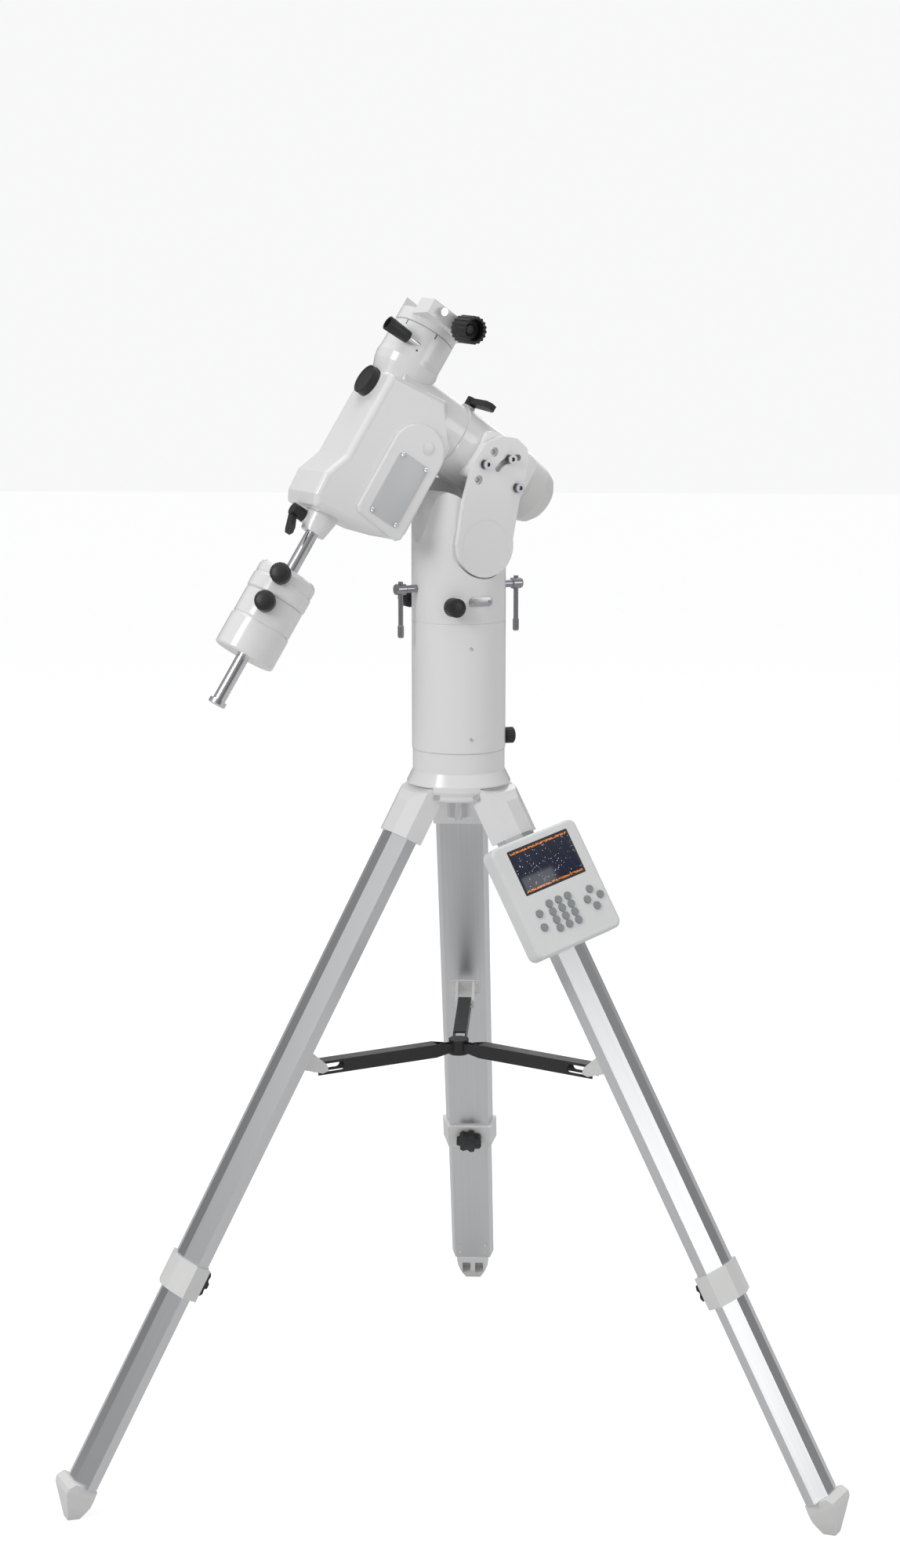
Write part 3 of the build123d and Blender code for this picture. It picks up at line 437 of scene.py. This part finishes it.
def star_knob(number):
    """Seven-lobed clamp knob of a leg, with a raised cap in its middle."""
    node = f"leg_{number}_clamp_knob"
    place = joint_place(f"leg_{number}_clamp_turn")
    way = joint_way(f"leg_{number}_clamp_turn")
    lobes, sides, radius, height = 7, 112, 0.021, 0.0125
    middle_share, lobe_share = 0.885, 0.115
    stem, collar_radius, collar_height, collar_drop = 0.0085, 0.0095, 0.0015, 0.0008
    knob = disc(radius, height, sides)
    for step in range(sides):
        wave = math.cos(step / sides * math.tau * lobes)
        squeeze = middle_share + lobe_share * min(1, max(-1, wave * 1.5 + 0.4))
        angle = step / sides * math.tau

        def here(vert):
            turn = (math.atan2(vert.co.y, vert.co.x) - angle + math.pi) % math.tau - math.pi
            return abs(turn) < math.pi / sides

        pick(knob, here, "verts")
        bpy.ops.transform.resize(value=(squeeze, squeeze, 1), center_override=(0, 0, 0))
    dome(knob, radius, height, [(0.0016, 0.0008), (0.0075, 0.0), (0.0006, 0.0012), (0.004, 0.0005)])
    soften(knob, 0.0007, 2, 30)
    shank = disc(knob_stem_radius, stem, 20)
    soften(shank, 0.0004)
    shift(shank, -stem)
    collar = disc(collar_radius, collar_height, 32)
    soften(collar, 0.0003)
    shift(collar, -collar_drop)
    made = join([knob, shank, collar], f"leg_{number}_star_knob")
    made.data.transform(basis(joint_way(f"leg_{number}_fold"), way, place))
    fit(made, f"leg_{number}_star_knob", black_moulding, "black_plastic", f"leg_{number}_clamp", node)


for number in leg_numbers:
    star_knob(number)


def clamp_grip():
    """Ribbed grip of the declination clamp on its bright rod."""
    place = joint_place("dec_clamp_turn")
    way = joint_way("dec_clamp_turn")
    start, length, radius, ribs = 0.035, 0.037, 0.0103, 16
    rib_share, foot_share = 0.94, 0.86
    rod_start, rod_length, rod_radius = 0.0065, 0.029, 0.0035
    grip = disc(radius, length, ribs * 4)
    flute(grip, ribs, rib_share, length / 2)
    pick(grip, lambda vert: vert.co.z < length / 2, "verts")
    bpy.ops.transform.resize(value=(foot_share, foot_share, 1), center_override=(0, 0, 0))
    dome(grip, radius, length, [(0.0022, 0), (0.0002, -0.006), (0.003, -0.0003)])
    soften(grip, 0.0004, 2, 25)
    shift(grip, start)
    rod = disc(rod_radius, rod_length, 24)
    dome(rod, rod_radius, rod_length, [(0.0004, 0.0003)])
    soften(rod, 0.0004)
    shift(rod, rod_start)
    for piece in (grip, rod):
        piece.data.transform(basis(west, way, place))
    fit(grip, "dec_clamp_grip", black_moulding, "black_plastic", "dec_clamp_lever", "dec_clamp_lever")
    fit(rod, "dec_clamp_rod", polished, "bright_steel", "dec_clamp_lever")


clamp_grip()


def sight_cap():
    """Push-in cap of the polar sight hole: thin rim, shallow dished face and a fine knurl."""
    reach = joint_way("polar_cap_pull")
    start, height, radius, ribs, rib_share = 0.0342, 0.0118, 0.0214, 40, 0.985
    plug_radius, plug_length, plug_drop = 0.0128, 0.0085, 0.0083
    cap = disc(radius, height, ribs * 4)
    flute(cap, ribs, rib_share, height / 2)
    dome(cap, radius, height, [(0.0016, 0.0002), (0.0004, -0.001), (0.014, 0.0004)])
    soften(cap, 0.0003, 2, 25)
    plug = disc(plug_radius, plug_length, 48)
    soften(plug, 0.0005)
    shift(plug, -plug_drop)
    made = join([cap, plug], "polar_sight_cap")
    made.data.transform(basis(west, reach, crossing + reach * start))
    fit(made, "polar_sight_cap", black_moulding, "black_plastic", "polar_cap", "polar_cap")


sight_cap()


# ---------------------------------------------------------------- plates and small screws
def head_place(along, above, out):
    """Point in the tilted head: along the polar axis, up the declination axis and out to the west."""
    return crossing + pole * along + dec * above + west * out


def rounded_plate(width, depth, height, corner, edge):
    """Flat plate with round corners and softened edges."""
    plate = block(width, depth, height)
    pick(plate, lambda e: abs(e.verts[0].co.z - e.verts[1].co.z) > height / 2, "edges")
    bpy.ops.mesh.bevel(offset=corner, segments=8)
    soften(plate, edge)
    return plate


def motor_nameplate():
    """Blank grey plate on the motor cover with a screw in each corner and a round blanking plug above."""
    cover_out = 0.0551
    width, depth, thickness, corner = 0.050, 0.096, 0.0009, 0.006
    screw_side, screw_end = 0.0208, 0.0439
    plug_radius, plug_height = 0.0088, 0.0007
    turn = basis(-pole, west, head_place(-0.057, -0.113, cover_out))
    plate = rounded_plate(width, depth, thickness, corner, 0.0002)
    plate.data.transform(turn)
    fit(plate, "motor_nameplate", nameplate_grey, "grey_cover", "declination_housing")
    places = [turn @ Matrix.Translation((x, y, thickness))
              for x in (-screw_side, screw_side) for y in (-screw_end, screw_end)]
    screws = copies(screw_blank(0.003, 0.0011), places)
    fit(join(screws, "nameplate_screws"), "nameplate_screws", polished, "bright_steel",
        "declination_housing")
    plug = disc(plug_radius, plug_height, 48)
    dome(plug, plug_radius, plug_height, [(0.0006, 0.0002), (0.003, 0.0002)])
    soften(plug, 0.0002)
    plug.data.transform(basis(-pole, west, head_place(-0.066, -0.042, cover_out)))
    fit(plug, "motor_cover_plug", white_enamel, "white_enamel", "declination_housing")


motor_nameplate()


def base_badge():
    """Small blank metal badge beside the west azimuth knob, held by two screws."""
    base_radius, sunk, above_knob, screw_out = 0.0675, 0.0024, 0.0055, 0.0135
    width, depth, thickness, corner = 0.036, 0.013, 0.0034, 0.0055
    middle = pillar + west * (base_radius - sunk)
    middle.z = joint_place("azimuth_knob_west_turn").z + above_knob
    badge = rounded_plate(width, depth, thickness, corner, 0.0003)
    turn = basis(-north, west, middle)
    badge.data.transform(turn)
    fit(badge, "base_badge", badge_metal, "bright_steel", "azimuth_base")
    places = [turn @ Matrix.Translation((x, 0, thickness)) for x in (-screw_out, screw_out)]
    fit(join(copies(screw_blank(0.0019, 0.0007), places), "badge_screws"), "badge_screws", dark_steel,
        "dark_steel", "azimuth_base")


base_badge()


def pillar_screws():
    """Two small screws in the pillar: one just above its knob's height, one below the azimuth base."""
    facing, seat_radius = math.radians(-72), 0.0673
    heights = (joint_place("pillar_knob_turn").z + 0.007, joint_place("azimuth").z - 0.035)
    way = Vector((math.cos(facing), math.sin(facing), 0))
    places = [basis(up, way, pillar + way * seat_radius + up * height) for height in heights]
    fit(join(copies(screw_blank(0.0026, 0.0009), places), "pillar_screws"), "pillar_screws", polished,
        "bright_steel", "stand")


pillar_screws()


def leg_trim(number):
    """Screws at the foot and on the spreader's bracket of one leg."""
    hinge, down, across, out = leg_frame(number)
    leg_centre_out, half_depth = 0.0065, 0.016
    inner = leg_centre_out - half_depth
    foot_face, bracket_face = inner + 0.0024, inner - 0.002
    foot_side, foot_alongs = 0.022, (1.055, 1.072)
    foot_screws = [basis(across, -out, hinge + down * along + across * side + out * foot_face)
                   for along in foot_alongs for side in (-foot_side, foot_side)]
    fit(join(copies(screw_blank(0.0032, 0.0012), foot_screws), f"leg_{number}_foot_screws"),
        f"leg_{number}_foot_screws", polished, "bright_steel", f"leg_{number}_lower")
    pin_reach, bracket_side, bracket_half = 0.166, 0.018, 0.012
    pin_drop = joint_place("spreader_arm_1_fold").z - hinge.z
    pin_along = pin_reach * down.xy.length + pin_drop * down.z
    bracket_screws = [basis(across, -out, hinge + down * along + across * side + out * bracket_face)
                      for along in (pin_along - bracket_half, pin_along + bracket_half)
                      for side in (-bracket_side, bracket_side)]
    fit(join(copies(screw_blank(0.0026, 0.001), bracket_screws), f"leg_{number}_bracket_screws"),
        f"leg_{number}_bracket_screws", polished, "bright_steel", f"leg_{number}")


for number in leg_numbers:
    leg_trim(number)


def round_dec(angle, above, radius):
    """Matrix on the declination clamp ring: an angle from the west, a height up the axis and a radius."""
    turn = math.radians(angle)
    way = west * math.cos(turn) + pole * math.sin(turn)
    return basis(dec, way, crossing + dec * above + way * radius)


def ring_marks():
    """Set screws and index marks round the declination clamp ring."""
    marks = [round_dec(angle, 0.0645, 0.0448) for angle in (20, 140, 260)]
    fit(join(copies(screw_blank(0.0016, 0.0005), marks), "clamp_ring_screws"), "clamp_ring_screws",
        dark_steel, "dark_steel", "declination_housing")
    tick = block(0.007, 0.0012, 0.0004)
    soften(tick, 0.0001)
    places = [round_dec(angle, 0.095, 0.0449) for angle in (62, 2)]
    fit(join(copies(tick, places), "clamp_ring_index_marks"), "clamp_ring_index_marks", black_moulding,
        "black_plastic", "declination_housing")


ring_marks()


# ---------------------------------------------------------------- controller's screen
def star_chart():
    """Lit chart behind the controller's window: a dark sky with stars and two orange bars."""
    hinge, down, across, out = leg_frame(3)
    panel_along, panel_side, panel_out = 0.166, 0.039, 0.0464
    screen_side, screen_rise, screen_out = 0.002, 0.039, 0.01442
    width, depth, thickness = 0.104, 0.060, 0.0003
    panel = hinge + down * panel_along - across * panel_side + out * panel_out
    face = -joint_way("keypad_press")
    side = (-down).cross(face).normalized()
    rise = face.cross(side)
    turn = basis(side, face, panel + side * screen_side + rise * screen_rise + face * screen_out)
    screen = Shader("star chart", Roughness=0.12, Emission_Strength=0.6)
    flat = screen.node("ShaderNodeMapping", {"vector_type": "TEXTURE"},
                       {"Vector": screen.place, "Location": turn.to_translation(),
                        "Rotation": turn.to_euler()}, "Vector")
    height = screen.node("ShaderNodeSeparateXYZ", {}, {"Vector": flat}, "Y")
    across_screen = screen.node("ShaderNodeSeparateXYZ", {}, {"Vector": flat}, "X")
    cells = screen.node("ShaderNodeTexVoronoi", {}, {"Vector": flat, "Scale": 330.0}, "Distance")
    stars = (cells < 0.16) * (screen.noise(170, 1, flat) > 0.5)
    haze = screen.noise(26, 3, flat)
    sky = screen.blend(haze, (0.001, 0.0015, 0.005, 1), (0.009, 0.013, 0.032, 1))
    sky = screen.blend(stars, sky, (0.7, 0.76, 0.9, 1))
    lines = (((across_screen * 180 + height * 60).sine()).absolute() < 0.03) * 0.3
    sky = screen.blend(lines, sky, (0.06, 0.12, 0.3, 1))
    bars = (height.absolute() > 0.0272) * (screen.noise(420, 0, flat) > 0.45)
    sky = screen.blend(bars, sky, (0.6, 0.17, 0.02, 1))
    screen.feed("Base Color", sky)
    screen.feed("Emission Color", sky)
    sheet = block(width, depth, thickness)
    soften(sheet, 0.00008)
    sheet.data.transform(turn)
    fit(sheet, "controller_star_chart", screen.material, "screen_glass", "leg_3")


star_chart()


# ---------------------------------------------------------------- studio
def floor():
    """Pale floor that looks bright to the camera and throws little light up at the mount."""
    bpy.ops.mesh.primitive_plane_add(size=40)
    sheet = bpy.context.object
    sheet.name = "floor"
    pale = Shader("pale floor", Base_Color=(0.5, 0.5, 0.505, 1), Emission_Color=(1, 1, 1, 1), Roughness=0.8)
    seen = pale.node("ShaderNodeLightPath", {}, {}, "Is Camera Ray")
    pale.feed("Emission Strength", seen * 0.55 + 0.16)
    sheet.data.materials.append(pale.material)


def surroundings():
    """Plain bright background for the camera, and a soft rise from dark to pale in reflections."""
    world = bpy.data.worlds.new("studio")
    bpy.context.scene.world = world
    world.use_nodes = True
    tree = world.node_tree
    background = tree.nodes["Background"]
    path = tree.nodes.new("ShaderNodeLightPath")
    mix = tree.nodes.new("ShaderNodeMix")
    mix.data_type = "RGBA"
    tree.links.new(path.outputs["Is Camera Ray"], mix.inputs[0])
    rise = tree.nodes.new("ShaderNodeTexCoord")
    split = tree.nodes.new("ShaderNodeSeparateXYZ")
    ramp = tree.nodes.new("ShaderNodeValToRGB")
    low, high = ramp.color_ramp.elements
    low.position = 0.02
    low.color = (0.1, 0.1, 0.105, 1)
    high.position = 0.75
    high.color = (0.62, 0.62, 0.63, 1)
    tree.links.new(rise.outputs["Generated"], split.inputs[0])
    tree.links.new(split.outputs["Z"], ramp.inputs[0])
    tree.links.new(ramp.outputs[0], mix.inputs[6])
    mix.inputs[7].default_value = (0.94, 0.94, 0.945, 1)
    tree.links.new(mix.outputs[2], background.inputs["Color"])


def lamps():
    """Square soft lamps, each a name, a place, a size and a power, aimed at the pillar."""
    rows = (("key", (-2.8, -3.0, 3.2), 1.6, 72), ("fill", (3.6, -2.2, 2.0), 1.8, 24),
            ("top", (0, 0.2, 4.6), 3.0, 40), ("back", (0.5, 3.5, 3.0), 2.6, 30))
    aim = Vector((0, -0.15, 1.0))
    for name, place, size, power in rows:
        lamp = bpy.data.lights.new(name, "AREA")
        lamp.size = size
        lamp.energy = power
        holder = bpy.data.objects.new(name, lamp)
        bpy.context.scene.collection.objects.link(holder)
        holder.location = place
        holder.rotation_euler = (aim - Vector(place)).to_track_quat("-Z", "Y").to_euler()


def camera():
    """Camera in front of the mount, a little above the head and looking down."""
    pitch, heading = math.radians(10.67), Vector((-0.0419, 0.9991, 0))
    eye = bpy.data.cameras.new("camera")
    eye.sensor_fit = "VERTICAL"
    eye.sensor_height = 36
    eye.lens = 57.4
    eye.shift_x = -0.0055
    holder = bpy.data.objects.new("camera", eye)
    bpy.context.scene.collection.objects.link(holder)
    holder.location = pillar + Vector((0.1493, -3.5614, 1.67075))
    look = heading * math.cos(pitch) - up * math.sin(pitch)
    holder.rotation_euler = look.to_track_quat("-Z", "Y").to_euler()
    bpy.context.scene.camera = holder
    bpy.context.scene.view_settings.view_transform = "Standard"
    bpy.context.scene.view_settings.exposure = 0.0


floor()
surroundings()
lamps()
camera()
